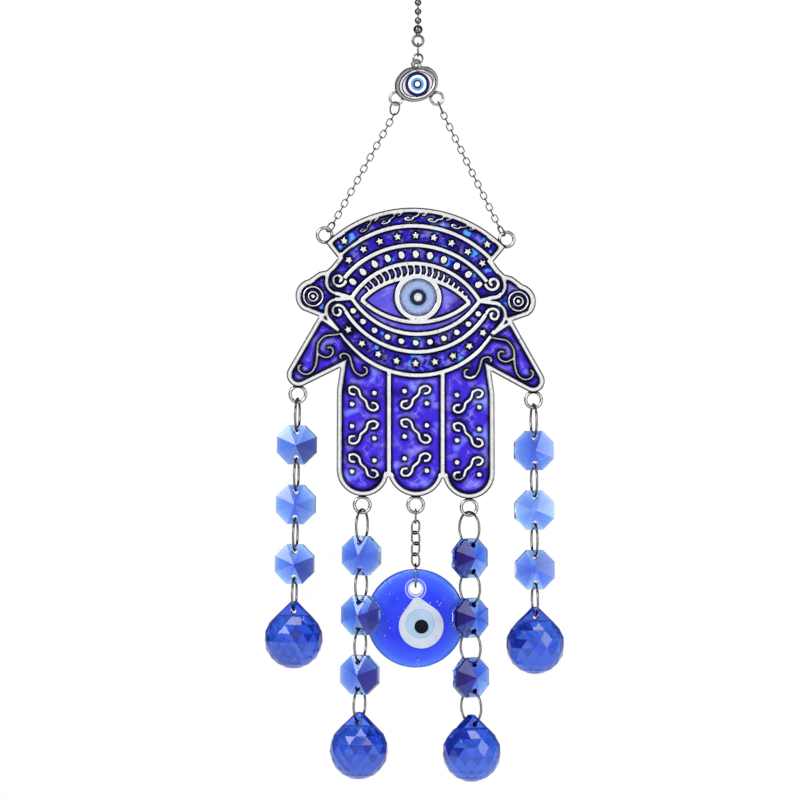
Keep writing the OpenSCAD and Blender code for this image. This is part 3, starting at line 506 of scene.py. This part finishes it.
by_node = {"hang_ring": steel, "upper_coupling": nickel, "lower_coupling": nickel, "chain_balls": nickel,
           "chain_pins": nickel, "link_ring": steel, "charm_frame": charm_silver, "charm_eye": charm_eye,
           "charm_pupil": charm_pupil, "hand_plate": silver, "enamel_bands": bands, "enamel_eye": field,
           "enamel_palm": palm, "iris_glass": iris, "pupil_stone": pupil, "eye_long_link": steel,
           "eye_curb_links": steel, "eye_closing_ring": steel, "eye_disc": cobalt, "eye_white": white,
           "eye_blue": pale_blue, "eye_pupil": black}
for strand, shadows in strand_shadows.items():
    for number, (right, up, strength) in enumerate(shadows, 1):
        bead = f"{strand}_bead_{number}"
        by_node[bead] = bead_glass(bead, strand_turn[strand], right, up, strength)
    by_node[strand + "_ball"] = ball_left if strand.startswith("left") else ball_right


def material_for(name):
    """The node's own material, or else steel: dull for the cable chains and their end rings."""
    if name in by_node:
        return by_node[name]
    if "chain" in name or "upper_ring" in name or "lower_ring" in name:
        return chain_steel
    return steel


for name, piece in nodes.items():
    material = material_for(name)
    if not piece.data.materials:
        piece.data.materials.append(material)
    for slot in piece.material_slots:
        slot.material = material


# Stage, light and camera
def pale_floor(height, size=6.0, back=1.0):
    """Pale floor with the object's shadow, plain white to the camera, to glass and to metal further out."""
    bpy.ops.mesh.primitive_plane_add(size=size, location=(0, back, height))
    floor = bpy.context.object
    floor.name = "floor"
    m = Mat("floor_pale", Roughness=0.9, Base_Color=(0.9, 0.9, 0.9, 1))
    ray = m.node("ShaderNodeLightPath").outputs
    bounced = m.math("ADD", ray["Is Glossy Ray"], ray["Is Transmission Ray"])
    seen = m.math("ADD", ray["Is Camera Ray"], bounced, clamp=True)
    ground = m.node("ShaderNodeNewGeometry").outputs["Position"]
    away = m.vector("LENGTH", m.vector("MULTIPLY", ground, (1, 1, 0)))
    far = m.ramp(away, [(0.15, 0.0), (0.5, 1.0)])
    glow = m.node("ShaderNodeEmission")
    m.link(m.ramp(m.noise(3, 2), [(0.3, 0.995), (0.7, 1.0)]), glow.inputs["Color"])
    mixer = m.node("ShaderNodeMixShader")
    m.link(m.times(seen, far), mixer.inputs[0])
    m.link(m.shader.outputs[0], mixer.inputs[1])
    m.link(glow.outputs[0], mixer.inputs[2])
    m.link(mixer.outputs[0], m.output.inputs["Surface"])
    floor.data.materials.append(m.material)


def cool(stops):
    """The greys of a room's stops, a touch bluish."""
    return [(at, (grey, grey, grey * 1.02)) for at, grey in stops]


def studio():
    """White behind the object, even pale light on it, and a room for metal and for glass that goes from its
    front, where the camera is, round to its back."""
    world = bpy.data.worlds.new("studio")
    bpy.context.scene.world = world
    world.use_nodes = True
    room = Nodes(world.node_tree)
    way = room.node("ShaderNodeTexCoord").outputs["Generated"]
    front_to_back = room.math("MULTIPLY_ADD", room.along(way, "Y"), 0.5, 0.5)
    for_metal = room.ramp(front_to_back, cool([(0.02, 0.92), (0.08, 0.87), (0.18, 0.16), (0.30, 0.03),
                                               (0.75, 0.03), (0.90, 0.14)]))
    for_glass = room.ramp(front_to_back, cool([(0.03, 0.80), (0.12, 0.70), (0.22, 0.25), (0.42, 0.14),
                                               (0.58, 0.18), (0.70, 0.6), (0.80, 1.0)]))
    ray = room.node("ShaderNodeLightPath").outputs
    tone = room.mix(ray["Is Glossy Ray"], (0.62, 0.64, 0.67), for_metal)
    tone = room.mix(ray["Is Transmission Ray"], tone, for_glass)
    tone = room.mix(ray["Is Camera Ray"], tone, (1, 1, 1))
    background = room.tree.nodes["Background"]
    room.link(tone, background.inputs["Color"])
    background.inputs["Strength"].default_value = 1.0


def area_light(name, place, size, power):
    """Soft white light, turned to the middle of the object."""
    middle = Vector((0, 0, -0.16))
    data = bpy.data.lights.new(name, "AREA")
    data.shape = "RECTANGLE"
    data.size, data.size_y = size
    data.energy = power
    light = bpy.data.objects.new(name, data)
    light.location = place
    light.rotation_euler = (middle - Vector(place)).to_track_quat("-Z", "Y").to_euler()
    bpy.context.collection.objects.link(light)


floor_gap = 0.12
pale_floor(height=cad_box[0][2] - floor_gap)
studio()
area_light("key", place=(-0.7, -0.9, 0.45), size=(0.6, 0.6), power=9)
area_light("fill", place=(0.9, -0.8, 0.0), size=(0.4, 0.9), power=5)
area_light("top", place=(0.05, -0.25, 0.9), size=(0.8, 0.3), power=5)

# The camera looks level along +Y, as in the photo
camera_aside = -6.43 * MM
camera_away = 1.0714
camera_height = -0.162
camera_data = bpy.data.cameras.new("camera")
camera_data.lens = 135
camera_data.sensor_width = 36
camera_data.clip_end = 20
camera = bpy.data.objects.new("camera", camera_data)
camera.location = (camera_aside, -camera_away, camera_height)
camera.rotation_euler = (math.radians(90), 0, 0)
bpy.context.collection.objects.link(camera)
bpy.context.scene.camera = camera
bpy.context.scene.view_settings.view_transform = "Standard"
